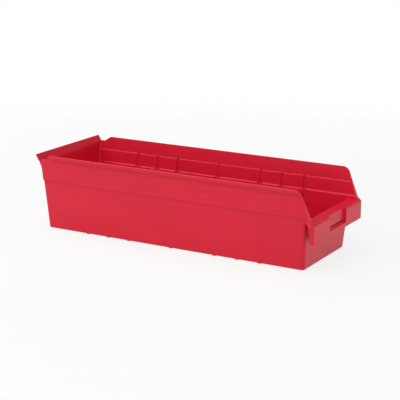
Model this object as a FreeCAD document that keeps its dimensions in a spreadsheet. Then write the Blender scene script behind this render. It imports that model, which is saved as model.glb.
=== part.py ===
import FreeCAD, Part
import os
import Sketcher

# Open shelf bin in millimetres. X is across, Y runs from the grip (-Y) to the back (+Y), Z is up.
# The origin is under the middle of the bin, at the height of the beads that it stands on.

SIZES = {
    # Whole bin
    "half_length": 300.0,
    "rim_height": 152.4,
    "outside_reach": 330.0,
    "over_rim_height": 153.4,
    # Where the front and back nodes meet the side nodes
    "front_cut": 262.0,
    "back_cut": 276.0,
    # Tapered box: half width and front and back foot at the floor's underside, and their slopes
    "foot_half_width": 86.5,
    "front_foot": 273.25,
    "back_foot": 287.6,
    "side_slope": 0.107,
    "front_slope": 0.057,
    "back_slope": 0.0354,
    "corner_radius": 8.0,
    "inner_corner_radius": 5.5,
    "foot_radius": 3.0,
    "foot_bevel_share": 0.3,
    # Walls and the two steps that widen the bin upwards
    "floor_thickness": 2.8,
    "wall_thickness": 2.8,
    "band_thickness": 2.6,
    "rim_thickness": 1.8,
    "step_height": 99.3,
    "step_depth": 2.0,
    "back_step_depth": 0.6,
    "ledge_height": 100.6,
    "upper_ledge_height": 125.5,
    "upper_step_depth": 0.4,
    "rim_bead_depth": 0.9,
    "rim_bead_height": 6.5,
    # Divider slots, floor grooves and the beads under them
    "slot_middle": 4.85,
    "slot_pitch": 47.2,
    "slot_width": 4.0,
    "slot_depth": 1.5,
    "slot_mouth_width": 8.0,
    "slot_mouth_height": 4.0,
    "ledge_mouth_width": 10.0,
    "ledge_mouth_height": 6.0,
    "bead_height": 1.2,
    "bead_width": 6.5,
    "bead_half_length": 80.0,
    "bead_draft": 1.0,
    "bead_root": 0.5,
    # Hanging lip and the notches beside it
    "lip_foot_height": 134.1,
    "lip_half_width": 106.8,
    "lip_thickness": 2.8,
    "notch_start": 262.0,
    "notch_foot": 281.0,
    "notch_height": 142.3,
    "notch_bead_shift": 1.5,
    # Slanted hopper edge and its flange
    "hopper_top": 270.8,
    "hopper_foot": 292.0,
    "hopper_foot_height": 97.0,
    "hopper_corner_radius": 14.0,
    "flange_top_height": 136.0,
    "flange_thickness": 2.8,
    "flange_nose_setback": 1.4,
    "flange_nose_rise": 2.3,
    "flange_toe_setback": 0.6,
    "flange_toe_rise": 1.2,
    # Pull grip
    "grip_height": 92.9,
    "grip_foot_height": 57.0,
    "grip_half_width": 104.8,
    "grip_thickness": 2.6,
    "grip_bend_radius": 5.0,
    "grip_bend_inner_radius": 2.4,
    "end_foot_depth": 7.1,
    "end_top_depth": 15.5,
    "end_top_height": 98.1,
    "end_bend_depth": 8.1,
    "end_bend_height": 77.5,
    "end_root_height": 112.1,
    # Label pocket in the grip
    "label_half_width": 35.0,
    "label_depth": 5.0,
    "label_shelf_front_height": 65.5,
    "label_shelf_back_height": 68.8,
    "label_slit_height": 2.2,
}

SLOT_STEPS = (-4, -3, -2, 0, 2, 3, 4)
SIDES = {"left": -1, "right": 1}

doc = FreeCAD.newDocument("shelf_bin")
sheet = doc.addObject("Spreadsheet::Sheet", "sizes")
for row, (alias, value) in enumerate(SIZES.items(), start=1):
    sheet.set(f"A{row}", alias)
    sheet.set(f"B{row}", str(value))
    sheet.setAlias(f"B{row}", alias)
doc.recompute()


# Formulas over the sheet

def size(name):
    return f"sizes.{name}"


def rise(height):
    return f"(({height}) - sizes.bead_height)"


def half_width(height, extra="0"):
    return f"(sizes.foot_half_width + sizes.side_slope * {rise(height)} + {extra})"


def front_of_wall(height):
    return f"(-sizes.front_foot - sizes.front_slope * {rise(height)})"


def back_of_wall(height):
    return f"(sizes.back_foot + sizes.back_slope * {rise(height)})"


HOPPER_RUN = "((sizes.hopper_foot - sizes.hopper_top) / (sizes.rim_height - sizes.hopper_foot_height))"


def hopper_line(height):
    return f"(-sizes.hopper_top - {HOPPER_RUN} * (sizes.rim_height - ({height})))"


STEP = size("step_height")
LEDGE = size("ledge_height")
UPPER_LEDGE = size("upper_ledge_height")
RIM = size("rim_height")
FLOOR_UNDER = size("bead_height")
FLOOR_TOP = "(sizes.bead_height + sizes.floor_thickness)"
GRIP_UNDER = "(sizes.grip_height - sizes.grip_thickness)"
GRIP_BEND = "(sizes.grip_height - sizes.grip_bend_radius)"
GRIP_FACE = "(-sizes.half_length)"
GRIP_BACK = "(-sizes.half_length + sizes.grip_thickness)"
FAR_LOW = "(-sizes.outside_reach)"
FAR_HIGH = size("outside_reach")
OVER_RIM = size("over_rim_height")
FRONT_CUT = "(-sizes.front_cut)"
BACK_CUT = size("back_cut")
BAND_EXTRA = "sizes.step_depth"
RIM_EXTRA = "(sizes.step_depth + sizes.upper_step_depth)"


# Building blocks

def origin_plane(body, role):
    return next(feature for feature in body.Origin.OriginFeatures if feature.Role == role)


def new_body(name):
    return doc.addObject("PartDesign::Body", name)


def new_sketch(body, name, role, offset=None):
    sketch = body.newObject("Sketcher::SketchObject", name)
    sketch.AttachmentSupport = [(origin_plane(body, role), "")]
    sketch.MapMode = "FlatFace"
    if offset:
        sketch.setExpression("AttachmentOffset.Base.z", offset)
    return sketch


def value_of(formula):
    return float(sheet.evalExpression(formula))


def bind(sketch, kind, elements, value, formula):
    """Add a dimension to a sketch and bind it to a formula."""
    place = sketch.addConstraint(Sketcher.Constraint(kind, *elements, value))
    sketch.setExpression(f"Constraints[{place}]", formula)


def add_polygon(sketch, points):
    """Draw a closed outline whose corners are bound to formulas for the sketch's two axes."""
    corners = [FreeCAD.Vector(value_of(across), value_of(along), 0) for across, along in points]
    first = sketch.GeometryCount
    count = len(corners)
    for index in range(count):
        sketch.addGeometry(Part.LineSegment(corners[index], corners[(index + 1) % count]))
    for index in range(count):
        joint = (first + index, 2, first + (index + 1) % count, 1)
        sketch.addConstraint(Sketcher.Constraint("Coincident", *joint))
    for index, (across, along) in enumerate(points):
        from_origin = (-1, 1, first + index, 1)
        bind(sketch, "DistanceX", from_origin, corners[index].x, across)
        bind(sketch, "DistanceY", from_origin, corners[index].y, along)


def add_rounded_rectangle(sketch, half, front, back, radius):
    """Draw a rectangle with rounded corners, mirrored about the sketch's vertical axis."""
    x, y0, y1, r = (value_of(formula) for formula in (half, front, back, radius))
    vector = FreeCAD.Vector
    sides = [(vector(-x + r, y0), vector(x - r, y0)), (vector(x, y0 + r), vector(x, y1 - r)),
             (vector(x - r, y1), vector(-x + r, y1)), (vector(-x, y1 - r), vector(-x, y0 + r))]
    for start, end in sides:
        sketch.addGeometry(Part.LineSegment(start, end))
    centres = [(x - r, y0 + r, -90), (x - r, y1 - r, 0), (-x + r, y1 - r, 90), (-x + r, y0 + r, 180)]
    for across, along, angle in centres:
        circle = Part.Circle(vector(across, along), vector(0, 0, 1), r)
        start, end = (FreeCAD.Units.Quantity(turn, FreeCAD.Units.Angle).getValueAs("rad").Value
                      for turn in (angle, angle + 90))
        sketch.addGeometry(Part.ArcOfCircle(circle, start, end))
    for index in range(4):
        sketch.addConstraint(Sketcher.Constraint("Tangent", index, 2, 4 + index, 1))
        sketch.addConstraint(Sketcher.Constraint("Tangent", 4 + index, 2, (index + 1) % 4, 1))
    for index in (0, 2):
        sketch.addConstraint(Sketcher.Constraint("Horizontal", index))
    for index in (1, 3):
        sketch.addConstraint(Sketcher.Constraint("Vertical", index))
    for index in (5, 6, 7):
        sketch.addConstraint(Sketcher.Constraint("Equal", 4, index))
    bind(sketch, "Radius", (4,), r, radius)
    bind(sketch, "DistanceY", (-1, 1, 0, 1), y0, front)
    bind(sketch, "DistanceX", (-1, 1, 1, 1), x, half)
    bind(sketch, "DistanceY", (-1, 1, 2, 1), y1, back)
    bind(sketch, "DistanceX", (-1, 1, 3, 1), -x, f"-{half}")


def tapered_block(name, levels, radius):
    """Loft a block through rounded rectangles, each level being height, half width, front and back."""
    body = new_body(name)
    sections = []
    for index, (height, half, front, back) in enumerate(levels):
        sketch = new_sketch(body, f"{name}_level{index}", "XY_Plane", height)
        add_rounded_rectangle(sketch, half, front, back, radius)
        sections.append(sketch)
    doc.recompute()
    loft = body.newObject("PartDesign::AdditiveLoft", f"{name}_loft")
    loft.Profile = sections[0]
    loft.Sections = sections[1:]
    loft.Ruled = True
    doc.recompute()
    return body


def side_profile(name, points, start, end):
    """Pad an outline of Y and Z formulas along X, from one X formula to another."""
    body = new_body(name)
    sketch = new_sketch(body, f"{name}_outline", "YZ_Plane", start)
    add_polygon(sketch, points)
    doc.recompute()
    pad = body.newObject("PartDesign::Pad", f"{name}_pad")
    pad.Profile = sketch
    pad.setExpression("Length", f"({end}) - ({start})")
    doc.recompute()
    return body


def across_bin(name, points):
    return side_profile(name, points, FAR_LOW, FAR_HIGH)


def round_edges_along_x(body, corners):
    """Fillet edges that run along X, each given by its Y and Z formulas and a radius formula."""
    for number, (along, height, radius) in enumerate(corners):
        base = body.Tip
        y, z = value_of(along), value_of(height)
        edges = [f"Edge{index}" for index, edge in enumerate(base.Shape.Edges, start=1)
                 if edge.BoundBox.YLength < 0.01 and edge.BoundBox.ZLength < 0.01
                 and abs(edge.BoundBox.YMin - y) < 0.01 and abs(edge.BoundBox.ZMin - z) < 0.01]
        fillet = body.newObject("PartDesign::Fillet", f"{body.Name}_bend{number}")
        fillet.Base = (base, edges)
        fillet.setExpression("Radius", radius)
        doc.recompute()


def box(name, low, high):
    """Make a box between two corners, each a triple of formulas."""
    block = doc.addObject("Part::Box", name)
    for axis, side, start, end in zip("xyz", ("Length", "Width", "Height"), low, high):
        block.setExpression(side, f"({end}) - ({start})")
        block.setExpression(f"Placement.Base.{axis}", start)
    return block


def join(kind, name, first, second):
    shape = doc.addObject(f"Part::{kind}", name)
    shape.Base = first
    shape.Tool = second
    return shape


def cut(name, first, *tools):
    for index, tool in enumerate(tools):
        first = join("Cut", f"{name}_cut{index}", first, tool)
    return first


def common(name, first, second):
    return join("Common", name, first, second)


def fuse(name, first, second):
    return join("Fuse", name, first, second)


nodes = {}


def keep(name, shape):
    """Register a finished sub-part under the label that names its file."""
    shape.Label = name
    nodes[name] = shape


# Outside and inside of the box, level by level

BACK_INSIDE = "- sizes.wall_thickness"


def foot_levels(low, high):
    """Heights and insets of a block whose foot edge is rounded in two slanted steps."""
    radius = size("foot_radius")
    bevel = f"sizes.foot_bevel_share * {radius}"
    return [(low, radius), (f"({low} + {bevel})", bevel), (f"({low} + {radius})", "0"), (high, "0")]


lower_outside = tapered_block("lower_outside", [
    (height, half_width(height, f"-{inset}"), f"{front_of_wall(height)} + {inset}",
     f"{back_of_wall(height)} - {inset}")
    for height, inset in foot_levels(FLOOR_UNDER, STEP)], size("corner_radius"))


def upper_outside(name, low, high, extra):
    return tapered_block(name, [
        (height, half_width(height, extra), FAR_LOW, f"{back_of_wall(height)} + sizes.back_step_depth")
        for height in (low, high)], size("corner_radius"))


def inside(name, low, high, extra, front, deeper="0"):
    return tapered_block(name, [
        (height, half_width(height, f"({extra} + {deeper})"), front(height),
         f"{back_of_wall(height)} {BACK_INSIDE}") for height in (low, high)], size("inner_corner_radius"))


def open_front(height):
    return FAR_LOW


def inner_front(height):
    return f"{front_of_wall(height)} + sizes.wall_thickness"


LOWER_INSET = "-sizes.wall_thickness"
BAND_INSET = f"({BAND_EXTRA} - sizes.band_thickness)"
RIM_INSET = f"({RIM_EXTRA} - sizes.rim_thickness)"

web_outside = tapered_block("web_outside", [
    (height, half_width(height), FAR_LOW, back_of_wall(height))
    for height in (GRIP_UNDER, STEP)], size("corner_radius"))
band_outside = upper_outside("band_outside", STEP, UPPER_LEDGE, BAND_EXTRA)
rim_outside = upper_outside("rim_outside", UPPER_LEDGE, RIM, RIM_EXTRA)
rim_bead_outside = upper_outside(
    "rim_bead_outside", UPPER_LEDGE, RIM, f"({RIM_EXTRA} + sizes.rim_bead_depth)")

lower_inside = tapered_block("lower_inside", [
    (height, half_width(height, f"({LOWER_INSET} - {inset})"), f"{inner_front(height)} + {inset}",
     f"{back_of_wall(height)} {BACK_INSIDE} - {inset}")
    for height, inset in foot_levels(FLOOR_TOP, LEDGE)], size("inner_corner_radius"))
mouth_inside = inside("mouth_inside", GRIP_BEND, LEDGE, LOWER_INSET, open_front)
band_inside = inside("band_inside", LEDGE, UPPER_LEDGE, BAND_INSET, open_front)
rim_inside = inside("rim_inside", UPPER_LEDGE, OVER_RIM, RIM_INSET, open_front)
between_walls = tapered_block("between_walls", [
    (height, half_width(height, RIM_INSET), FAR_LOW, FAR_HIGH)
    for height in (UPPER_LEDGE, OVER_RIM)], size("inner_corner_radius"))


# Divider slots: one side outline each, held to the slot depth behind the inner walls

GROOVE_FOOT = f"({FLOOR_TOP} - sizes.bead_height)"
DEEPER = "sizes.slot_depth"
lower_reach = inside("lower_reach", GROOVE_FOOT, LEDGE, LOWER_INSET, inner_front, DEEPER)
band_reach = inside("band_reach", LEDGE, UPPER_LEDGE, BAND_INSET, open_front, DEEPER)


def slot_place(step):
    return f"(sizes.slot_middle + {step} * sizes.slot_pitch)"


def slot_outline(step, low, high, mouth_width, mouth_height):
    """Outline of a slot between two heights, with a flared mouth at its top."""
    middle = slot_place(step)
    neck = f"({high} - {mouth_height})"
    half_neck = "sizes.slot_width / 2"
    half_mouth = f"{mouth_width} / 2"
    return [(f"{middle} - {half_neck}", low), (f"{middle} + {half_neck}", low),
            (f"{middle} + {half_neck}", neck), (f"{middle} + {half_mouth}", high),
            (f"{middle} - {half_mouth}", high), (f"{middle} - {half_neck}", neck)]


def slot_blades(name, low, high, mouth_width, mouth_height):
    body = new_body(name)
    sketch = new_sketch(body, f"{name}_outline", "YZ_Plane", FAR_LOW)
    for step in SLOT_STEPS:
        add_polygon(sketch, slot_outline(step, low, high, mouth_width, mouth_height))
    doc.recompute()
    pad = body.newObject("PartDesign::Pad", f"{name}_pad")
    pad.Profile = sketch
    pad.setExpression("Length", "2 * sizes.outside_reach")
    doc.recompute()
    return body


lower_slots = common("lower_slots", lower_reach, slot_blades(
    "lower_blades", GROOVE_FOOT, LEDGE, size("ledge_mouth_width"), size("ledge_mouth_height")))
band_slots = common("band_slots", band_reach, slot_blades(
    "band_blades", LEDGE, UPPER_LEDGE, size("slot_mouth_width"), size("slot_mouth_height")))


# Side outlines: hopper edge, notches and hanging lip

FLANGE_TOP = size("flange_top_height")
FLANGE_RUN = "sizes.flange_thickness"
HOPPER_FOOT = ("(-sizes.hopper_foot)", size("hopper_foot_height"))
NOSE = (f"({GRIP_FACE} + sizes.flange_nose_setback)", f"({GRIP_BEND} + sizes.flange_nose_rise)")
GRIP_CORNER = (GRIP_FACE, GRIP_BEND)
FLANGE_HEEL = (f"(-sizes.hopper_foot + {FLANGE_RUN})", size("hopper_foot_height"))
FLANGE_TOE = (f"({GRIP_BACK} + sizes.flange_toe_setback)", f"({GRIP_BEND} + sizes.flange_toe_rise)")
hopper_mouth = across_bin("hopper_mouth", [
    (FAR_LOW, OVER_RIM), (hopper_line(OVER_RIM), OVER_RIM), (hopper_line(FLANGE_TOP), FLANGE_TOP),
    (f"{hopper_line(FLANGE_TOP)} + {FLANGE_RUN}", FLANGE_TOP),
    FLANGE_HEEL, FLANGE_TOE, (FAR_LOW, FLANGE_TOE[1])])

CORNER = size("hopper_corner_radius")
CORNER_STRETCH = f"sqrt(1 + {HOPPER_RUN}^2)"
CORNER_HEIGHT = f"(sizes.rim_height - {CORNER})"
CORNER_PLACE = f"({hopper_line(CORNER_HEIGHT)} + {CORNER} * {CORNER_STRETCH})"
CORNER_TOUCH = (f"{CORNER_PLACE} - {CORNER} / {CORNER_STRETCH}",
                f"{CORNER_HEIGHT} + {CORNER} * {HOPPER_RUN} / {CORNER_STRETCH}")
corner_wedge = across_bin("corner_wedge", [(CORNER_PLACE, RIM), (hopper_line(RIM), RIM), CORNER_TOUCH])
corner_round = doc.addObject("Part::Cylinder", "corner_round")
corner_round.Placement.Rotation = FreeCAD.Rotation(FreeCAD.Vector(0, 1, 0), 90)
corner_round.setExpression("Radius", CORNER)
corner_round.setExpression("Height", "2 * sizes.outside_reach")
for axis, formula in zip("xyz", (FAR_LOW, CORNER_PLACE, CORNER_HEIGHT)):
    corner_round.setExpression(f"Placement.Base.{axis}", formula)
corner_chip = cut("corner_chip", corner_wedge, corner_round)

LIP_FACE = f"({back_of_wall(size('lip_foot_height'))} + sizes.back_step_depth)"
LIP_INSIDE = f"({back_of_wall(size('lip_foot_height'))} - sizes.wall_thickness)"
lip_bar = side_profile("lip_bar", [
    (LIP_INSIDE, size("lip_foot_height")), (LIP_FACE, size("lip_foot_height")), (size("half_length"), RIM),
    ("sizes.half_length - sizes.lip_thickness", RIM)], "-sizes.lip_half_width", size("lip_half_width"))
notch = across_bin("notch", [
    (size("notch_start"), RIM), (size("notch_foot"), size("notch_height")),
    (FAR_HIGH, size("notch_height")), (FAR_HIGH, OVER_RIM),
    (size("notch_start"), OVER_RIM)])
behind_lip = across_bin("behind_lip", [
    (LIP_INSIDE, size("lip_foot_height")), ("sizes.half_length - sizes.lip_thickness", RIM),
    (FAR_HIGH, RIM), (FAR_HIGH, size("lip_foot_height"))])
below_bead = across_bin("below_bead", [
    (FAR_LOW, UPPER_LEDGE), (FAR_LOW, "sizes.rim_height - sizes.rim_bead_height"),
    ("sizes.notch_start - sizes.notch_bead_shift", "sizes.rim_height - sizes.rim_bead_height"),
    ("sizes.notch_foot - sizes.notch_bead_shift", "sizes.notch_height - sizes.rim_bead_height"),
    (FAR_HIGH, "sizes.notch_height - sizes.rim_bead_height"),
    (FAR_HIGH, UPPER_LEDGE)])


# Shells of the box, before they are divided into nodes

lower_shell = cut("lower_shell", lower_outside, lower_inside, lower_slots)
web_shell = cut("web_shell", web_outside, mouth_inside, hopper_mouth)
band_shell = cut("band_shell", band_outside, lower_inside, mouth_inside, band_inside, band_slots, lower_slots,
                 hopper_mouth)
rim_bead = cut("rim_bead", rim_bead_outside, below_bead)
beaded_rim = fuse("beaded_rim", rim_outside, rim_bead)
rim_shell = cut("rim_shell", beaded_rim, rim_inside, hopper_mouth, corner_chip, notch)

beads = new_body("beads")
beads_sketch = new_sketch(beads, "beads_outline", "YZ_Plane", "-sizes.bead_half_length")
for step in SLOT_STEPS:
    edge = f"{slot_place(step)} - sizes.bead_width / 2"
    far_edge = f"{slot_place(step)} + sizes.bead_width / 2"
    bead_top = f"{FLOOR_UNDER} + sizes.bead_root"
    add_polygon(beads_sketch, [(f"{edge} + sizes.bead_draft", "0"), (f"{far_edge} - sizes.bead_draft", "0"),
                               (far_edge, bead_top), (edge, bead_top)])
doc.recompute()
beads_pad = beads.newObject("PartDesign::Pad", "beads_pad")
beads_pad.Profile = beads_sketch
beads_pad.setExpression("Length", "2 * sizes.bead_half_length")
doc.recompute()


# Nodes of the box: the shells, divided by boxes

def region(name, shell, y_range, z_range, x_range=(FAR_LOW, FAR_HIGH)):
    low = [formula[0] for formula in (x_range, y_range, z_range)]
    high = [formula[1] for formula in (x_range, y_range, z_range)]
    return common(name, shell, box(f"{name}_bounds", low, high))


MIDDLE_RUN = (FRONT_CUT, BACK_CUT)
FRONT_RUN = (FAR_LOW, FRONT_CUT)
BACK_RUN = (BACK_CUT, FAR_HIGH)
ALL_RUN = (FAR_LOW, FAR_HIGH)

pan_floor = region("pan_floor", lower_shell, ALL_RUN, ("0", FLOOR_TOP))
keep("floor_pan", fuse("floor_pan", pan_floor, cut("trimmed_beads", beads, lower_inside, lower_slots)))
keep("front_wall", region("front_wall", lower_shell, FRONT_RUN, (FLOOR_TOP, GRIP_UNDER)))
keep("back_wall", region("back_wall", lower_shell, BACK_RUN, (FLOOR_TOP, STEP)))
keep("back_upper_band", fuse(
    "back_upper_band", region("back_band_low", band_shell, BACK_RUN, (STEP, UPPER_LEDGE)),
    region("back_band_high", rim_shell, BACK_RUN, (UPPER_LEDGE, size("lip_foot_height")))))
lip_roots = cut("lip_roots", region("lip_corners", rim_shell, BACK_RUN, (size("lip_foot_height"), OVER_RIM)),
                behind_lip, between_walls)
keep("rear_hang_lip", fuse("rear_hang_lip", lip_bar, lip_roots))

for side, sign in SIDES.items():
    half_space = (FAR_LOW, "0") if sign < 0 else ("0", FAR_HIGH)
    wall = region(f"{side}_wall", lower_shell, MIDDLE_RUN, (FLOOR_TOP, STEP), half_space)
    web = region(f"{side}_web", web_shell, FRONT_RUN, (GRIP_UNDER, STEP), half_space)
    keep(f"{side}_lower_wall", fuse(f"{side}_lower_wall", wall, web))
    keep(f"{side}_upper_band", region(
        f"{side}_upper_band", band_shell, (FAR_LOW, BACK_CUT), (STEP, UPPER_LEDGE), half_space))
    keep(f"{side}_rim_band", region(
        f"{side}_rim_band", rim_shell, (FAR_LOW, BACK_CUT), (UPPER_LEDGE, OVER_RIM), half_space))


# Hopper flanges and grip ends

FLANGE_OUTLINE = [
    (hopper_line(FLANGE_TOP), FLANGE_TOP), HOPPER_FOOT, NOSE, GRIP_CORNER, (GRIP_BACK, GRIP_BEND),
    FLANGE_TOE, FLANGE_HEEL,
    (f"{hopper_line(FLANGE_TOP)} + {FLANGE_RUN}", FLANGE_TOP)]
END_ROOT = size("end_root_height")
END_OUTLINE = [
    (GRIP_BACK, size("grip_foot_height")), (GRIP_BACK, GRIP_BEND), FLANGE_TOE, FLANGE_HEEL,
    (f"{hopper_line(END_ROOT)} + {FLANGE_RUN}", END_ROOT),
    ("-sizes.half_length + sizes.end_top_depth", size("end_top_height")),
    ("-sizes.half_length + sizes.end_bend_depth", size("end_bend_height")),
    ("-sizes.half_length + sizes.end_foot_depth", size("grip_foot_height"))]

for side, sign in SIDES.items():
    outer = size("grip_half_width")
    inner = size("foot_half_width")
    span = (f"-{outer}", f"-{inner}") if sign < 0 else (inner, outer)
    strip = side_profile(f"{side}_strip", FLANGE_OUTLINE, *span)
    keep(f"{side}_hopper_flange", cut(f"{side}_flange", strip, mouth_inside, band_inside, rim_inside))
    plate = f"({outer} - sizes.grip_thickness)"
    plate_span = (f"-{outer}", f"-{plate}") if sign < 0 else (plate, outer)
    keep(f"{side}_grip_end", side_profile(f"{side}_grip_end", END_OUTLINE, *plate_span))


# Grip: one bent profile, divided at the bend, with the label pocket cut in

WALL_TOP = f"({front_of_wall(GRIP_UNDER)} + sizes.wall_thickness)"
grip_bar = side_profile("grip_bar", [
    (WALL_TOP, GRIP_UNDER), (WALL_TOP, size("grip_height")), (GRIP_FACE, size("grip_height")),
    (GRIP_FACE, size("grip_foot_height")), (GRIP_BACK, size("grip_foot_height")), (GRIP_BACK, GRIP_UNDER)],
    "-sizes.grip_half_width", size("grip_half_width"))
round_edges_along_x(grip_bar, [(GRIP_FACE, size("grip_height"), size("grip_bend_radius")),
                               (GRIP_BACK, GRIP_UNDER, size("grip_bend_inner_radius"))])

LABEL = size("label_half_width")
LABEL_FACE = "(-sizes.half_length + sizes.label_depth)"
LABEL_BACK = f"({LABEL_FACE} + sizes.grip_thickness)"
SHELF_FRONT = size("label_shelf_front_height")
SHELF_BACK = size("label_shelf_back_height")
pocket = box("pocket", (f"-{LABEL}", FAR_LOW, SHELF_FRONT), (LABEL, LABEL_FACE, OVER_RIM))
keep("grip_skirt", cut("grip_skirt", region(
    "skirt_bounds", grip_bar, ALL_RUN, ("0", GRIP_BEND)), pocket))
flange_bar = region("flange_bar", grip_bar, ALL_RUN, (GRIP_BEND, OVER_RIM))
keep("grip_flange", cut("grip_flange", common("flange_trimmed", flange_bar, mouth_inside), pocket))

returns = box("returns", (f"-{LABEL} - sizes.grip_thickness", GRIP_BACK, SHELF_FRONT),
              (f"{LABEL} + sizes.grip_thickness", LABEL_BACK, GRIP_UNDER))
panel_space = box("panel_space", (f"-{LABEL}", FAR_LOW, "0"), (LABEL, LABEL_FACE, OVER_RIM))
card_slit = box("card_slit", (f"-{LABEL}", FAR_LOW, "0"),
                (LABEL, FAR_HIGH, f"{SHELF_BACK} + sizes.label_slit_height"))
keep("label_panel", cut("label_panel", returns, panel_space, card_slit, grip_bar))
keep("label_shelf", side_profile("label_shelf", [
    (GRIP_FACE, SHELF_FRONT), (LABEL_FACE, SHELF_BACK), (LABEL_BACK, SHELF_BACK),
    (LABEL_BACK, f"{SHELF_BACK} - sizes.grip_thickness"), (GRIP_BACK, SHELF_FRONT)],
    f"-{LABEL}", LABEL))

doc.recompute()


# Check every object, then write one file per node

for item in doc.Objects:
    if "Invalid" in item.State or "Error" in item.State:
        raise RuntimeError(f"{item.Name} failed: {item.State}")
os.makedirs("parts", exist_ok=True)
for name, item in nodes.items():
    shape = item.Shape
    if shape.isNull() or not shape.isValid():
        raise RuntimeError(f"{name} has no valid shape")
    print(name, "solids", len(shape.Solids), "volume", round(shape.Volume / 1000, 2), "cm3")
    shape.exportStep(os.path.join("parts", f"{name}.step"))
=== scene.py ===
# %% [markdown]
# # A red shelf bin
# The object is a long open bin, moulded in one shot of red polypropylene. It has a low front with a
# pull grip, slanted front edges, a bent lip along the back and divider slots in its side walls.
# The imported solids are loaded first. They fix where everything is, and the pieces below stand in for
# them with the soft edges, draft and thin sheets that a moulding has.

# %% Load the frame
import math

import bmesh
import bpy
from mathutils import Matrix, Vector


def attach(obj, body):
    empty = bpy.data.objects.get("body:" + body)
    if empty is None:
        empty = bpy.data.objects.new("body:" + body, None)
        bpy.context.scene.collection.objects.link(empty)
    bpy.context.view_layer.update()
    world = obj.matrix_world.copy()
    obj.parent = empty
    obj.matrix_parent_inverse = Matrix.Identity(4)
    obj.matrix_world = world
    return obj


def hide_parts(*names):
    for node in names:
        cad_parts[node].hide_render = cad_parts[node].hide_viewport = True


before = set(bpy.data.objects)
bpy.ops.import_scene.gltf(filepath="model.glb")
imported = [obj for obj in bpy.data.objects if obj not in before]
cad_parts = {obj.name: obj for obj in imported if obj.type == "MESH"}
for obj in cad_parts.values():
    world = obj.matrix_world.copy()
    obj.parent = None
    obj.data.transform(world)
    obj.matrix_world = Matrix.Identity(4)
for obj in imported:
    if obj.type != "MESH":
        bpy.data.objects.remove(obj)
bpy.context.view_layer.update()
scene = bpy.context.scene
scene.view_settings.view_transform = "Standard"
print("solids loaded:", len(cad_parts))

# %% [markdown]
# ## The camera
# The photograph was taken from in front of the bin and to its left, a little above the rim, with a long
# lens. A camera set by eye would leave every shape a little off. So direction, distance and lens were
# found together from the bin's corners, because they set how strongly the long sides converge.

# %% Camera
MM = 0.001
PHOTO_AZIMUTH = math.radians(-59.8276)
PHOTO_ELEVATION = math.radians(14.8738)
PHOTO_DISTANCE = 2437.33 * MM
PHOTO_LENS = 113.19
SENSOR = 36
FARTHEST_SEEN = 50
LOOK_AT = Vector((17.659, 0, 71.316)) * MM

towards_camera = Vector((math.sin(PHOTO_AZIMUTH) * math.cos(PHOTO_ELEVATION),
                         -math.cos(PHOTO_AZIMUTH) * math.cos(PHOTO_ELEVATION),
                         math.sin(PHOTO_ELEVATION)))
camera_data = bpy.data.cameras.new("photo_camera")
camera_data.lens = PHOTO_LENS
camera_data.sensor_width = SENSOR
camera_data.clip_end = FARTHEST_SEEN
camera = bpy.data.objects.new("photo_camera", camera_data)
camera.location = LOOK_AT + towards_camera * PHOTO_DISTANCE
camera.rotation_euler = towards_camera.to_track_quat("Z", "Y").to_euler()
scene.collection.objects.link(camera)
scene.camera = camera
print("camera at", [round(value, 3) for value in camera.location])

# %% [markdown]
# ## The plastic
# Moulded polypropylene is a satin plastic: the colour is solid all through, the skin is slightly cloudy
# and the mould leaves a very fine grain. A flat colour would look like paint, and a picture of the skin
# would need an unwrapped mesh. So one node group makes the cloudiness and the grain from noise, and the
# shader turns them into colour, roughness and bump. Everything is read from object coordinates, so the
# grain has the same size on every piece.
# The group also reads an attribute that the meshes carry. It marks narrow or sheltered places, such as the
# divider slots and the wall behind the grip, where the colour is darkened as painted shade and the skin
# made duller.

# %% Node helpers
def new_group(name, inputs, outputs):
    group = bpy.data.node_groups.new(name, "ShaderNodeTree")
    for direction, sockets in (("INPUT", inputs), ("OUTPUT", outputs)):
        for socket_name, kind in sockets:
            group.interface.new_socket(socket_name, in_out=direction, socket_type=kind)
    return group


def add_noise(tree, coordinates, scale, detail, roughness):
    noise = tree.nodes.new("ShaderNodeTexNoise")
    noise.inputs["Scale"].default_value = scale
    noise.inputs["Detail"].default_value = detail
    noise.inputs["Roughness"].default_value = roughness
    tree.links.new(coordinates, noise.inputs["Vector"])
    return noise.outputs["Fac"]


def remap(tree, value, low, high, new_low, new_high):
    node = tree.nodes.new("ShaderNodeMapRange")
    for name, number in (("From Min", low), ("From Max", high), ("To Min", new_low), ("To Max", new_high)):
        node.inputs[name].default_value = number
    tree.links.new(value, node.inputs["Value"])
    return node.outputs["Result"]


def join(tree, operation, first, second):
    """Join two values with one math node."""
    node = tree.nodes.new("ShaderNodeMath")
    node.operation = operation
    tree.links.new(first, node.inputs[0])
    tree.links.new(second, node.inputs[1])
    return node.outputs["Value"]


def mix_colors(tree, blend, factor, first, second):
    node = tree.nodes.new("ShaderNodeMix")
    node.data_type = "RGBA"
    node.blend_type = blend
    tree.links.new(factor, node.inputs["Factor"])
    tree.links.new(first, node.inputs["A"])
    tree.links.new(second, node.inputs["B"])
    return node.outputs["Result"]


print("node helpers made for groups, noise, ranges, math and colours")

# %% Noises of the moulded skin
COLOR, FLOAT = "NodeSocketColor", "NodeSocketFloat"
CLOUDS = {"scale": 9, "detail": 3, "roughness": 0.55}
STREAKS = {"scale": 1, "detail": 4, "roughness": 0.6}
STREAK_STRETCH = (22, 4, 22)
SPECKS = {"scale": 700, "detail": 2, "roughness": 0.5}
GRAIN = {"scale": 2600, "detail": 2, "roughness": 0.5}

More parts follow.
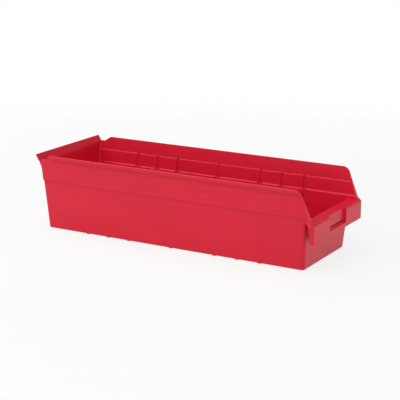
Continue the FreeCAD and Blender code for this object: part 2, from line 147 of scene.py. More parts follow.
skin = new_group("moulded_skin_and_painted_shade", [("Deep", COLOR), ("Pale", COLOR), ("Shade", COLOR)],
                 [("Color", COLOR), ("Roughness", FLOAT), ("Height", FLOAT)])
skin_in = skin.nodes.new("NodeGroupInput")
skin_out = skin.nodes.new("NodeGroupOutput")
skin_place = skin.nodes.new("ShaderNodeTexCoord").outputs["Object"]
flow = skin.nodes.new("ShaderNodeMapping")
flow.inputs["Scale"].default_value = STREAK_STRETCH
skin.links.new(skin_place, flow.inputs["Vector"])
clouds = add_noise(skin, skin_place, **CLOUDS)
streaks = add_noise(skin, flow.outputs["Vector"], **STREAKS)
specks = add_noise(skin, skin_place, **SPECKS)
grain = add_noise(skin, skin_place, **GRAIN)
print("noises in the group:", len([node for node in skin.nodes if node.type == "TEX_NOISE"]))

# %% Colour with painted shade, roughness and height of the moulded skin
BLOTCH_RANGE = (0.12, 0.42)
STREAK_RANGE = (0.3, 0.7)
SKIN_ROUGHNESS = (0.34, 0.41)
PAINTED_SHADE_DULLING = 0.5

blotches = remap(skin, join(skin, "MULTIPLY", clouds, streaks), *BLOTCH_RANGE, 0, 1)
tint = mix_colors(skin, "MIX", blotches, skin_in.outputs["Deep"], skin_in.outputs["Pale"])
# Painted shade: where the meshes mark it, the colour is darkened by the Shade colour and the skin made
# rougher.
painted_shade_node = skin.nodes.new("ShaderNodeAttribute")
painted_shade_node.attribute_name = "painted_shade"
painted_shade_mask = painted_shade_node.outputs["Fac"]
shaded_tint = mix_colors(skin, "MULTIPLY", painted_shade_mask, tint, skin_in.outputs["Shade"])
satin = remap(skin, streaks, *STREAK_RANGE, *SKIN_ROUGHNESS)
dulling = remap(skin, painted_shade_mask, 0, 1, 0, PAINTED_SHADE_DULLING)
skin.links.new(shaded_tint, skin_out.inputs["Color"])
skin.links.new(join(skin, "ADD", satin, dulling), skin_out.inputs["Roughness"])
skin.links.new(join(skin, "ADD", grain, specks), skin_out.inputs["Height"])
print("node group:", skin.name, "with", len(skin.nodes), "nodes")

# %% [markdown]
# The shader itself stays in the material, because the export can't read it inside a group. The skin is
# satin, so its mirror strength is set a little lower than the default. The bump could be strong enough to
# see, but the real grain only dulls the reflections, so it is kept very low.

# %% Red polypropylene
DEEP_RED = (0.675, 0.006, 0.030, 1)
PALE_RED = (0.715, 0.008, 0.036, 1)
# The grey that painted shade multiplies the skin's colour by.
PAINTED_SHADE_TINT = (0.62, 0.62, 0.62, 1)
PLASTIC_IOR = 1.49
MIRROR_LEVEL = 0.34
GRAIN_STRENGTH = 0.03
GRAIN_HEIGHT = 0.1 * MM

bin_plastic = bpy.data.materials.new("red_polypropylene")
bin_plastic.use_nodes = True
tree = bin_plastic.node_tree
shader = tree.nodes["Principled BSDF"]
shader.inputs["IOR"].default_value = PLASTIC_IOR
shader.inputs["Specular IOR Level"].default_value = MIRROR_LEVEL
skin_node = tree.nodes.new("ShaderNodeGroup")
skin_node.node_tree = skin
skin_node.inputs["Deep"].default_value = DEEP_RED
skin_node.inputs["Pale"].default_value = PALE_RED
skin_node.inputs["Shade"].default_value = PAINTED_SHADE_TINT
bump = tree.nodes.new("ShaderNodeBump")
bump.inputs["Strength"].default_value = GRAIN_STRENGTH
bump.inputs["Distance"].default_value = GRAIN_HEIGHT
tree.links.new(skin_node.outputs["Color"], shader.inputs["Base Color"])
tree.links.new(skin_node.outputs["Roughness"], shader.inputs["Roughness"])
tree.links.new(skin_node.outputs["Height"], bump.inputs["Height"])
tree.links.new(bump.outputs["Normal"], shader.inputs["Normal"])
print("material:", bin_plastic.name)

# %% [markdown]
# ## Helpers
# Each wall of the bin is one profile carried round its plan. Writing out lists of points and faces would
# work, but operators keep it short: a chain of edges is extruded once for each point of the profile, and
# every new point is put where a rule says. Each point carries two values. One is called plan and remembers
# where the point stood in the first chain. Extruding copies it, so the rule always knows its place. The
# other says how much painted shade the point gets, and the plastic's material reads it to darken the colour
# there.
# Meshes are made in millimetres and scaled to metres at the end.

# %% Helpers for chains and arcs
def new_points(geometry):
    return [item for item in geometry if isinstance(item, bmesh.types.BMVert)]


def chain_between(geometry):
    """Edges of a new chain: both of their ends are new."""
    points = set(new_points(geometry))
    return [item for item in geometry
            if isinstance(item, bmesh.types.BMEdge) and all(end in points for end in item.verts)]


def remember_plan(mesh):
    # A layer for painted shade, which the plastic's material reads.
    mesh.verts.layers.float.new("painted_shade")
    plan = mesh.verts.layers.float_vector.new("plan")
    for point in mesh.verts:
        point[plan] = point.co


def climb(mesh, chain, rule, painted_shade=lambda place: 0):
    """Extrude a chain of edges once, put each new point where the rule says for its plan position, and give
    it the painted shade that the second rule says.
    """
    plan = mesh.verts.layers.float_vector["plan"]
    painted_shade_layer = mesh.verts.layers.float["painted_shade"]
    grown = bmesh.ops.extrude_edge_only(mesh, edges=chain)["geom"]
    for point in new_points(grown):
        point.co = rule(point[plan])
        point[painted_shade_layer] = painted_shade(point[plan])
    return chain_between(grown)


def arc_points(middle, radius, start, end, steps):
    """Points of an arc in a profile. Angles are in degrees, from outwards (0) to upwards (90)."""
    angles = [math.radians(start + (end - start) * step / steps) for step in range(steps + 1)]
    return [(middle[0] + radius * math.cos(angle), middle[1] + radius * math.sin(angle))
            for angle in angles]


ROUND_STEPS = 4
print("points in a rounded edge:", len(arc_points((0, 0), 1, 0, 90, ROUND_STEPS)))

# %% Helpers for finished pieces
SHARP_ANGLE = math.radians(38)
BEVEL_SEGMENTS = 3
FLAT_FACE_WEIGHT = 100


def make_piece(mesh, name, nodes):
    """Turn a mesh in millimetres into a finished piece that stands for some of the solids."""
    for edge in mesh.edges:
        edge.smooth = edge.calc_face_angle(0) < SHARP_ANGLE
    bmesh.ops.scale(mesh, vec=(MM, MM, MM), verts=mesh.verts)
    data = bpy.data.meshes.new(name)
    mesh.to_mesh(data)
    mesh.free()
    data.polygons.foreach_set("use_smooth", [True] * len(data.polygons))
    data.materials.append(bin_plastic)
    piece = bpy.data.objects.new(name, data)
    scene.collection.objects.link(piece)
    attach(piece, "root")
    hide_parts(*nodes)
    print(name, "has", len(data.polygons), "faces")
    return piece


def add_bevel(piece, width, angle):
    bevel = piece.modifiers.new("soft_edges", "BEVEL")
    bevel.width = width * MM
    bevel.segments = BEVEL_SEGMENTS
    bevel.limit_method = "ANGLE"
    bevel.angle_limit = math.radians(angle)
    bevel.use_clamp_overlap = True


def add_even_shading(piece):
    """Let the large flat faces set the shading, so that narrow rounded edges don't bend it."""
    shading = piece.modifiers.new("even_shading", "WEIGHTED_NORMAL")
    shading.keep_sharp = True
    shading.weight = FLAT_FACE_WEIGHT


print("edges stay sharp from", round(math.degrees(SHARP_ANGLE)), "degrees")

# %% [markdown]
# ## The tapered box
# Below the step the bin is a tub that narrows downwards so that it leaves its mould. Its plan is a
# rectangle with rounded corners. A box could be hollowed out and cut for each slot, but then the draft,
# the rounded foot and the slots would each be a step of their own. One profile carried round the plan
# makes them all at once. Extra stations on the long sides stand at the edges of the divider slots, so
# that the inner skin can be pushed back there.

# %% Sizes of the box
FLOOR_UNDER = 1.2
FOOT_HALF_WIDTH = 86.5
FRONT_FOOT = 273.6
BACK_FOOT = 287.6
SIDE_SLOPE = 0.107
FRONT_SLOPE = 0.075
BACK_SLOPE = 0.0354
CORNER_RADIUS = 6
CORNER_STEPS = 8
FOOT_RADIUS = 2
FLOOR_TOP = 4
WALL = 2.8
LEDGE_FOOT = 98.8
LEDGE_TOP = 101.5
LEDGE_OUTER = -0.5
LEDGE_RADIUS = 1.8
LEDGE_TURN = 130
FRONT_WALL_TOP = 92.3

SLOT_MIDDLE = 4.85
SLOT_PITCH = 47.2
SLOTS = [SLOT_MIDDLE + SLOT_PITCH * step for step in (-4, -3, -2, 0, 2, 3, 4)]
SLOT_HALF = 2
SLOT_DRAFT = 0.5
SLOT_DEPTH = 2
TOLERANCE = 0.01

slot_stations = [slot + side * reach for slot in SLOTS for side in (-1, 1)
                 for reach in (SLOT_HALF, SLOT_HALF + SLOT_DRAFT)]
print("divider slots at", [round(slot, 1) for slot in SLOTS])


# %% Rules for the plan
def half_width(height):
    return FOOT_HALF_WIDTH + SIDE_SLOPE * (height - FLOOR_UNDER)


def nearest_slot(along):
    return min(SLOTS, key=lambda slot: abs(slot - along))


def in_slot(along):
    return abs(along - nearest_slot(along)) < SLOT_HALF + TOLERANCE


def beside_slot(along):
    return abs(along - nearest_slot(along)) < SLOT_HALF + SLOT_DRAFT + TOLERANCE


def side_of(value):
    return math.copysign(1, value)


def turn_corner(place, out):
    """Half width and length of a plan position. Inside a wall the corners turn on a smaller radius."""
    end = BACK_FOOT if place.y > 0 else FRONT_FOOT
    short_across = FOOT_HALF_WIDTH - abs(place.x)
    short_along = end - abs(place.y)
    if max(short_across, short_along) > CORNER_RADIUS + TOLERANCE:
        return abs(place.x), place.y
    share = 1 + min(out, 0) / CORNER_RADIUS
    return FOOT_HALF_WIDTH - short_across * share, side_of(place.y) * (end - short_along * share)


print("half width at the ledge:", round(half_width(LEDGE_TOP), 1))


# %% Plan of the tub
ALL_CORNERS = (0, 1, 2, 3)


def cut_plan(mesh, stations):
    for station in stations:
        bmesh.ops.bisect_plane(mesh, geom=mesh.verts[:] + mesh.edges[:] + mesh.faces[:],
                               plane_co=(0, station, 0), plane_no=(0, 1, 0))


def rounded_plan(mesh, front, back, rounded):
    """A flat face for the plan, with the chosen corners rounded."""
    corners = [mesh.verts.new((across * FOOT_HALF_WIDTH, along, 0))
               for across, along in ((-1, front), (1, front), (1, back), (-1, back))]
    mesh.faces.new(corners)
    bmesh.ops.bevel(mesh, geom=[corners[index] for index in rounded], offset=CORNER_RADIUS,
                    offset_type="OFFSET", segments=CORNER_STEPS, profile=0.5, affect="VERTICES",
                    material=-1)


FRONT_STATION = -FRONT_FOOT + CORNER_RADIUS + 3
tub = bmesh.new()
rounded_plan(tub, -FRONT_FOOT, BACK_FOOT, ALL_CORNERS)
cut_plan(tub, slot_stations + [FRONT_STATION])
remember_plan(tub)
print("points in the plan of the tub:", len(tub.verts))

# %% [markdown]
# The profile of the tub runs up the outside from the rounded foot, over the ledge and down the inside.
# The front is lower than the sides, because the grip starts there. It could be cut off at the end, but
# drawing its heights in keeps the rounded edge of its top. Slots and the wall behind the grip get their
# painted shade on the way.

# %% Rules for the tub
FRONT_START = -FRONT_FOOT + CORNER_RADIUS + TOLERANCE
BACK_START = BACK_FOOT - CORNER_RADIUS - TOLERANCE
FRONT_SHARE = (FRONT_WALL_TOP - FLOOR_UNDER) / (LEDGE_TOP - FLOOR_UNDER)
# Strength of the painted shade in the slots and on the wall behind the grip.
SLOT_SHADE = 0.2
LOW_SLOT_SHARE = 0.5
SHELTER_EDGE = -FRONT_FOOT + 0.35 * CORNER_RADIUS
SHELTER_SHADE = 0.45


def tub_point(place, out, height, slot_out=None, slot_drop=0, spread=0):
    """Where a plan position goes at one profile point, given how far out and how high that is."""
    if place.y < FRONT_START:
        height = FLOOR_UNDER + (height - FLOOR_UNDER) * FRONT_SHARE
    rise = height - FLOOR_UNDER
    across, along = turn_corner(place, out)
    across += SIDE_SLOPE * rise + out
    if place.y < FRONT_START:
        along -= FRONT_SLOPE * rise + out
    elif place.y > BACK_START:
        along += BACK_SLOPE * rise + out
    elif beside_slot(place.y):
        along += spread * side_of(place.y - nearest_slot(place.y))
        if in_slot(place.y) and slot_out is not None:
            across += max(slot_out - out, 0)
            height -= slot_drop
    return Vector((side_of(place.x) * across, along, height))


def slot_painted_shade(place):
    """Painted shade for the slots: they are narrow, so a little less light gets in."""
    on_long_side = FRONT_START < place.y < BACK_START
    return SLOT_SHADE if on_long_side and in_slot(place.y) else 0


def low_slot_painted_shade(place):
    """Below the ledge the slots are open to the floor, so they get less painted shade."""
    return LOW_SLOT_SHARE * slot_painted_shade(place)


def shelter_painted_shade(place):
    """Painted shade for the top of the front wall, which lies behind the grip, where little light comes."""
    return SHELTER_SHADE if place.y < SHELTER_EDGE else 0


print("share of the height that the front has:", round(FRONT_SHARE, 2))


# %% Skin of the tub
def ledge_profile(inside, foot, top, radius, outer):
    """A sloped ledge from its outer, higher end to its rounded inner edge."""
    return [(outer, top)] + arc_points((inside + radius, foot), radius, LEDGE_TURN, 180, ROUND_STEPS)


foot_outside = arc_points((-FOOT_RADIUS, FLOOR_UNDER + FOOT_RADIUS), FOOT_RADIUS, -90, 0, ROUND_STEPS)
tub_ledge = ledge_profile(-WALL, LEDGE_FOOT, LEDGE_TOP, LEDGE_RADIUS, LEDGE_OUTER)
foot_inside = arc_points((-WALL - FOOT_RADIUS, FLOOR_TOP + FOOT_RADIUS), FOOT_RADIUS, 0, -90, ROUND_STEPS)
SHELTER_FOOT = 62
SHELTER_FADE = 5
OUTSIDE_TOP = LEDGE_TOP - 1
MOUTH_SPREAD = 3
MOUTH_FOOT = 94
SLOT_OUT = -WALL + SLOT_DEPTH
GROOVE = 1.2

for point in tub.verts:
    point.co = tub_point(point.co, *foot_outside[0])
ring = [edge for edge in tub.edges if edge.is_boundary]
for out, height in foot_outside[1:] + [(0, SHELTER_FOOT)]:
    ring = climb(tub, ring, lambda place: tub_point(place, out, height))
# The wall behind the grip gets painted shade.
for height in (SHELTER_FOOT + SHELTER_FADE, OUTSIDE_TOP):
    ring = climb(tub, ring, lambda place: tub_point(place, 0, height), shelter_painted_shade)
# The slots in the tub get a lighter painted shade.
for out, height in tub_ledge:
    ring = climb(tub, ring, lambda place: tub_point(place, out, height, SLOT_OUT, spread=MOUTH_SPREAD),
                 low_slot_painted_shade)
ring = climb(tub, ring, lambda place: tub_point(place, -WALL, MOUTH_FOOT, SLOT_OUT), low_slot_painted_shade)
for out, height in foot_inside:
    ring = climb(tub, ring, lambda place: tub_point(place, out, height, out + SLOT_DEPTH, GROOVE),
                 low_slot_painted_shade)
print("tub skin points:", len(tub.verts))

# %% [markdown]
# The floor closes the inner skin. It could be one flat face, but the real floor has a shallow groove
# between each pair of slots. Opposite sides have matching stations, so bridging the left chain to the
# right one carries every slot across. Two flat ends are left to fill.

# %% Tub floor
plan = tub.verts.layers.float_vector["plan"]


def on_side(edge, side):
    return all(FRONT_START < end[plan].y < BACK_START and end[plan].x * side > 0 for end in edge.verts)


sides = [edge for edge in ring if on_side(edge, -1) or on_side(edge, 1)]
bmesh.ops.bridge_loops(tub, edges=sides)
bmesh.ops.holes_fill(tub, edges=[edge for edge in tub.edges if edge.is_boundary], sides=0)
bmesh.ops.recalc_face_normals(tub, faces=tub.faces)
print("open edges left in the tub:", sum(edge.is_boundary for edge in tub.edges))

# %% [markdown]
# The bin stands on seven low beads that run across below the floor, one under each pair of slots. They
# could be drawn out of the floor's own faces, but the faces there are narrower than a bead. So each bead
# is a bar with soft lower edges, and its top is sunk into the floor.

# %% Standing beads
BEAD_WIDTH = 6.5
BEAD_LENGTH = 171.4
BEAD_SINK = 1
BEAD_HEIGHT = FLOOR_UNDER + BEAD_SINK
BEAD_EDGE = 0.8
BEAD_EDGE_STEPS = 3

for slot in SLOTS:
    bead = bmesh.ops.create_cube(tub, size=1)["verts"]
    bmesh.ops.scale(tub, vec=(BEAD_LENGTH, BEAD_WIDTH, BEAD_HEIGHT), verts=bead)
    bmesh.ops.translate(tub, vec=(0, slot, BEAD_HEIGHT / 2), verts=bead)
    lower_edges = {edge for point in bead for edge in point.link_edges
                   if all(end.co.z < TOLERANCE for end in edge.verts)}
    bmesh.ops.bevel(tub, geom=list(lower_edges), offset=BEAD_EDGE, offset_type="OFFSET",
                    segments=BEAD_EDGE_STEPS, profile=0.5, affect="EDGES", material=-1)
tub_piece = make_piece(tub, "bin_tub", (
    "floor_pan", "front_wall", "back_wall", "left_lower_wall", "right_lower_wall"))
add_even_shading(tub_piece)

# %% [markdown]
# ## The upper walls
# Above the step the walls stand out a little and run round the sides and the back only. Their top edge
# is not level: it drops in a notch near the back, and its front corner is rounded into the slanted
# hopper edge. The notch and the slant could be cut off a level wall, but then the rounded rim would be
# cut off too. So the heights near the rim are counted down from the top edge, which follows a rule.

# %% Sizes of the upper walls
RIM_HEIGHT = 152.4
STEP_HEIGHT = 99.3
UPPER_LEDGE = 125.5
BAND_OUT = 2
RIM_OUT = 2.4
BEAD_OUT = 3.9
RIM_INSIDE = 0.6
BAND_INSIDE = -0.6
BACK_OUT = 0.6
BACK_INSIDE = -2.85
WEB_FOOT = 90.3
WEB_START = -258
NOTCH_FROM = 262.5
NOTCH_TO = 281
NOTCH_HEIGHT = 143.2
BACK_TOP = 134.4

HOPPER_TOP = 270.8
HOPPER_RUN = 21.2 / 55.4
HOPPER_STRETCH = math.hypot(1, HOPPER_RUN)
HOPPER_CORNER = 14
HOPPER_CORNER_STEPS = 10


def hopper_line(height):
    return -HOPPER_TOP - HOPPER_RUN * (RIM_HEIGHT - height)


corner_height = RIM_HEIGHT - HOPPER_CORNER
corner_place = hopper_line(corner_height) + HOPPER_CORNER * HOPPER_STRETCH
corner_turn = 180 - math.degrees(math.atan(HOPPER_RUN))
rim_corner = arc_points((corner_place, corner_height), HOPPER_CORNER, 90, corner_turn, HOPPER_CORNER_STEPS)
touch_place, touch_height = rim_corner[-1]
print("hopper edge starts at", round(touch_place, 1), round(touch_height, 1))

# %% Rules for the top edge
DEEPEST = 18
LEDGE_CLEARANCE = 1


def smooth_share(value, low, high):
    share = min(1, max(0, (value - low) / (high - low)))
    return share * share * (3 - 2 * share)


def top_edge(along):
    """Height of the top edge over a plan position."""
    if along < corner_place:
        reach = min(HOPPER_CORNER, corner_place - along)
        return corner_height + math.sqrt(HOPPER_CORNER ** 2 - reach ** 2)
    notch = (RIM_HEIGHT - NOTCH_HEIGHT) * smooth_share(along, NOTCH_FROM, NOTCH_TO)
    lip_drop = (NOTCH_HEIGHT - BACK_TOP) * smooth_share(along, BACK_START, BACK_FOOT)
    return RIM_HEIGHT - notch - lip_drop


def below_top(along, depth):
    """Height at a depth below the top edge, drawn in where the wall is low."""
    top = top_edge(along)
    return top - depth * min(1, (top - UPPER_LEDGE - LEDGE_CLEARANCE) / DEEPEST)


print("top edge at the back:", round(top_edge(BACK_FOOT), 1))


# %% Rules for the upper walls
def follow_hopper(along, end_height):
    """Slide a front position so that the last one lies on the hopper line."""
    share = (hopper_line(end_height) - WEB_START) / (touch_place - WEB_START)
    return WEB_START + (along - WEB_START) * share


def wall_point(place, side_out, back_out, height=None, depth=None, slot_out=None):
    """Where a plan position goes, given a height or a depth below the top edge."""
    end_height = height
    if depth is not None:
        height = below_top(place.y, depth)
        end_height = below_top(touch_place, depth)
    rise = height - FLOOR_UNDER
    across, along = abs(place.x), place.y
    if along > 0:
        across, along = turn_corner(place, back_out)
    across += SIDE_SLOPE * rise + side_out
    if place.y < WEB_START:
        along = follow_hopper(place.y, end_height)
    elif place.y > BACK_START:
        along += BACK_SLOPE * rise + back_out
    elif slot_out is not None and in_slot(place.y):
        across += max(slot_out - side_out, 0)
    return Vector((side_of(place.x) * across, along, height))


def root_point(place, web_out, hidden_out, back_out, height, hidden_height):
    """The root: a web at the front, and hidden in the tub's wall elsewhere."""
    if place.y < WEB_START + TOLERANCE:
        return wall_point(place, web_out, back_out, height)
    return wall_point(place, hidden_out, back_out, hidden_height)


print("hopper edge at the step:", round(follow_hopper(touch_place, STEP_HEIGHT), 1))

# %% [markdown]
# The plan is again a rectangle, this time open at the front. Its profile runs from a root that is hidden
# in the tub, up the outside with its step, faint line and rim bead, over the rounded top and down the
# inside past two ledges. Near the front the root comes out of the tub and becomes the web over the grip.
# The two pieces could be joined to one mesh, but a root that overlaps the tub needs no matching points.

# %% Plan of the upper walls
BACK_CORNERS = (2, 3)
WEB_END = WEB_START + 1
NOTCH_STATIONS = [261.5 + 2.6 * step for step in range(10)]

walls = bmesh.new()
rounded_plan(walls, touch_place, BACK_FOOT, BACK_CORNERS)
arc_stations = [place for place, _ in rim_corner[1:-1]]
cut_plan(walls, slot_stations + NOTCH_STATIONS + arc_stations + [WEB_START, WEB_END, corner_place])
bmesh.ops.delete(walls, geom=walls.faces[:], context="FACES_KEEP_BOUNDARY")
front_edges = [edge for edge in walls.edges
               if all(end.co.y < touch_place + TOLERANCE for end in edge.verts)]
bmesh.ops.delete(walls, geom=front_edges, context="EDGES")
remember_plan(walls)
print("points in the plan of the upper walls:", len(walls.verts))

# %% Outside profile of the upper walls
SKIN_GAP = 0.05
WEB_OUT = SKIN_GAP
HIDDEN_OUT = -0.5
STEP_RADIUS = 0.5
STEP_EDGE_STEPS = 3
STEP_FADE = 1.4
STEP_SHADE = 0.45
CREASE_END = 264.5
RIM_RADIUS = 2.4
INNER_RADIUS = 0.8

# A row of the first three lists says how far out a point is, how high or how deep, and how much painted
# shade it gets. The step, the faint line and the crease under the rim bead are real shapes, darkened
# further with painted shade.
step_edge = [(out, height, STEP_SHADE) for out, height in arc_points(
    (BAND_OUT - STEP_RADIUS, STEP_HEIGHT + STEP_RADIUS), STEP_RADIUS, -90, 0, STEP_EDGE_STEPS)]
step_edge.append((BAND_OUT, STEP_HEIGHT + STEP_FADE, 0))
faint_line = [(BAND_OUT + out, UPPER_LEDGE + rise, shade) for out, rise, shade in (
    (0, -1.6, 0), (-0.1, -1.1, 0.05), (-0.05, -0.9, 0.1), (0.35, 0.2, 0.05),
    (RIM_OUT - BAND_OUT, 0.6, 0))]
crease = [(RIM_OUT + out, depth, shade) for out, depth, shade in (
    (0, DEEPEST, 0), (0.1, 14.5, 0.12), (0.65, 10.2, 0.35), (0.77, 9.9, 0.45), (1.4, 8.5, 0.5),
    (BEAD_OUT - RIM_OUT, 8.2, 0.4))]
rim_round = (arc_points((BEAD_OUT - RIM_RADIUS, -RIM_RADIUS), RIM_RADIUS, 0, 90, ROUND_STEPS)
             + arc_points((RIM_INSIDE + INNER_RADIUS, -INNER_RADIUS), INNER_RADIUS, 90, 180, ROUND_STEPS))
print("profile points up to the inner rim:", len(step_edge + faint_line + crease + rim_round))

# %% Outside of the upper walls
for point in walls.verts:
    point.co = root_point(point.co, WEB_OUT, HIDDEN_OUT, HIDDEN_OUT, WEB_FOOT, WEB_FOOT)
first_chain = walls.edges[:]
chain = climb(walls, first_chain, lambda place: root_point(
    place, WEB_OUT, HIDDEN_OUT, HIDDEN_OUT, STEP_HEIGHT, STEP_HEIGHT))
# The step, the faint line and the crease carry painted shade in their colour.
for out, height, shade in step_edge:
    chain = climb(walls, chain, lambda place: wall_point(place, out, out - BAND_OUT + BACK_OUT, height),
                  lambda place: shade)
for out, height, shade in faint_line:
    chain = climb(walls, chain, lambda place: wall_point(place, out, BACK_OUT, height),
                  lambda place: shade)
for out, depth, shade in crease:
    chain = climb(walls, chain, lambda place: wall_point(place, out, BACK_OUT, depth=depth),
                  lambda place: shade if place.y < CREASE_END else 0)
for out, drop in rim_round:
    back_out = BACK_INSIDE + (out - RIM_INSIDE) * (BACK_OUT - BACK_INSIDE) / (BEAD_OUT - RIM_INSIDE)
    chain = climb(walls, chain, lambda place: wall_point(place, out, back_out, depth=-drop))
print("points up to the inner rim:", len(walls.verts))

# %% Inside of the upper walls
WEB_IN = -WALL - SKIN_GAP
HIDDEN_IN = -2.3
HIDDEN_LEDGE = 98
RIM_FOOT = UPPER_LEDGE + 0.8
BAND_MOUTH = 121
BAND_FOOT = LEDGE_TOP + 0.4
BAND_SLOT_OUT = 1.3
UPPER_LEDGE_FOOT = UPPER_LEDGE - 0.9
UPPER_LEDGE_TOP = UPPER_LEDGE + 0.6
UPPER_LEDGE_RADIUS = 1
upper_ledge = ledge_profile(BAND_INSIDE, UPPER_LEDGE_FOOT, UPPER_LEDGE_TOP, UPPER_LEDGE_RADIUS, RIM_INSIDE)
web_ledge = ledge_profile(WEB_IN, LEDGE_FOOT + SKIN_GAP, LEDGE_TOP, LEDGE_RADIUS, BAND_INSIDE)

chain = climb(walls, chain, lambda place: wall_point(place, RIM_INSIDE, BACK_INSIDE, RIM_FOOT))
# The slots in the band get painted shade.
for out, height in upper_ledge + [(BAND_INSIDE, BAND_MOUTH), (BAND_INSIDE, BAND_FOOT)]:
    chain = climb(walls, chain, lambda place: wall_point(
        place, out, BACK_INSIDE, height, slot_out=BAND_SLOT_OUT), slot_painted_shade)
for out, height in web_ledge:
    chain = climb(walls, chain, lambda place: root_point(
        place, out, max(out, HIDDEN_IN), BACK_INSIDE, height, min(height, HIDDEN_LEDGE)))
chain = climb(walls, chain, lambda place: root_point(
    place, WEB_IN, HIDDEN_IN, BACK_INSIDE, WEB_FOOT, WEB_FOOT))
bmesh.ops.bridge_loops(walls, edges=chain + first_chain)
bmesh.ops.holes_fill(walls, edges=[edge for edge in walls.edges if edge.is_boundary], sides=0)
bmesh.ops.dissolve_degenerate(walls, dist=TOLERANCE, edges=walls.edges)
bmesh.ops.recalc_face_normals(walls, faces=walls.faces)
print("open edges left in the upper walls:", sum(edge.is_boundary for edge in walls.edges))
walls_piece = make_piece(walls, "upper_walls", (
    "left_upper_band", "right_upper_band", "left_rim_band", "right_rim_band", "back_upper_band"))
add_even_shading(walls_piece)

# %% [markdown]
# ## The hanging lip
# The back's top edge is bent outwards, so that the bin can hang on a rail. The bend is a gentle curve, and
# its lower ends are rounded into the corners of the walls. A plain bent plane would do from far away, but a
# section that is drawn once and pushed across the bin gives it its thickness as well. The inside gets
# painted shade that grows towards the top, to make it darker there than plain plastic would be. Two small
# cheeks close the corners between the notched side walls and the lip.

# %% Lip
LIP_HALF_WIDTH = 106.8
LIP_FOOT = 132.5
LIP_STEPS = 8
LIP_THICKNESS = 2.9
LIP_START = 289.35
LIP_REACH = 7.75
LIP_END_INSET = 13
LIP_SHADE = 0.3


def lip_rise(height):
    return (height - LIP_FOOT) / (RIM_HEIGHT - LIP_FOOT)


def lip_along(height):
    """Where the inside of the lip stands at one height."""
    return LIP_START + LIP_REACH * lip_rise(height) ** 2


def push_out(mesh, section, start_of, depth):
    """Draw a closed outline of along and height, and extrude it across the bin."""
    outline = [mesh.verts.new((start_of(height), along, height)) for along, height in section]
    grown = bmesh.ops.extrude_face_region(mesh, geom=[mesh.faces.new(outline)])["geom"]
    bmesh.ops.translate(mesh, vec=(depth, 0, 0), verts=new_points(grown))


lip_heights = [LIP_FOOT + (RIM_HEIGHT - LIP_FOOT) * step / LIP_STEPS for step in range(LIP_STEPS + 1)]
lip_inside = [(lip_along(height), height) for height in lip_heights]
lip_outside = [(along + LIP_THICKNESS, height) for along, height in reversed(lip_inside)]
lip = bmesh.new()
push_out(lip, lip_inside + lip_outside, lambda height: -LIP_HALF_WIDTH, 2 * LIP_HALF_WIDTH)
for height in lip_heights[1:-1]:
    bmesh.ops.bisect_plane(lip, geom=lip.verts[:] + lip.edges[:] + lip.faces[:], dist=TOLERANCE,
                           plane_co=(0, 0, height), plane_no=(0, 0, 1))
lip_painted_shade = lip.verts.layers.float.new("painted_shade")
for point in lip.verts:
    drop = max(0, (NOTCH_HEIGHT - point.co.z) / (NOTCH_HEIGHT - LIP_FOOT))
    point.co.x -= side_of(point.co.x) * LIP_END_INSET * drop ** 2
    # Painted shade on the inside of the lip, growing towards the top.
    if point.co.y < lip_along(point.co.z) + TOLERANCE:
        point[lip_painted_shade] = LIP_SHADE * lip_rise(point.co.z)
print("points in the lip:", len(lip.verts))

# %% Lip cheeks
CHEEK_TOP = NOTCH_HEIGHT - 0.15
CHEEK_SECTION = ((277, 128), (277, CHEEK_TOP), (293.2, CHEEK_TOP), (292, 131))
CHEEK_INSIDE = 0.8
CHEEK_THICKNESS = 1.4
SOFT_EDGE = 0.6
LIP_BEVEL_ANGLE = 40

for side in (-1, 1):
    push_out(lip, CHEEK_SECTION, lambda height: side * (half_width(height) + CHEEK_INSIDE),
             side * CHEEK_THICKNESS)
bmesh.ops.recalc_face_normals(lip, faces=lip.faces)
lip_piece = make_piece(lip, "hang_lip", ("rear_hang_lip",))
add_bevel(lip_piece, SOFT_EDGE, LIP_BEVEL_ANGLE)
add_even_shading(lip_piece)

# %% [markdown]
# ## The pull grip
# The grip is one bent sheet: a flat flange over the front wall, a round bend and a skirt that hangs down
# in front, with room for fingers behind it. Its ears run up into the hopper edges. It could be put together
# from boxes, but a sheet that is extruded, spun round the bend and given its thickness at the end keeps
# one even wall everywhere, as the moulding has.

# %% Sizes of the grip
GRIP_FACE = -300
GRIP_TOP = 92.9
GRIP_FOOT = 57
GRIP_HALF_WIDTH = 106.7
GRIP_WALL = 2.6
BEND_RADIUS = 5
BEND_STEPS = 6
BEND_START = GRIP_TOP - BEND_RADIUS
FLANGE_HALF_WIDTH = 94.4
FLANGE_REAR = -275.5
LABEL_HALF_WIDTH = 35
LABEL_FACE = -295
SHELF_FRONT = 64.8
SHELF_BACK = 69
SLIT_TOP = 71
PANEL_MIDDLE = 79
SKIRT_LEVELS = (SHELF_FRONT, SLIT_TOP, PANEL_MIDDLE, BEND_START)
COLUMNS = (-GRIP_HALF_WIDTH, -FLANGE_HALF_WIDTH, -LABEL_HALF_WIDTH,
           LABEL_HALF_WIDTH, FLANGE_HALF_WIDTH, GRIP_HALF_WIDTH)
print("grip skirt is", round(GRIP_TOP - GRIP_FOOT, 1), "mm high")


# %% Grip skirt
def extend(mesh, edges, vector):
    """Extrude edges by a straight move."""
    grown = bmesh.ops.extrude_edge_only(mesh, edges=edges)["geom"]
    bmesh.ops.translate(mesh, vec=vector, verts=new_points(grown))
    return chain_between(grown)


def middle_of(edge):
    return (edge.verts[0].co + edge.verts[1].co) / 2


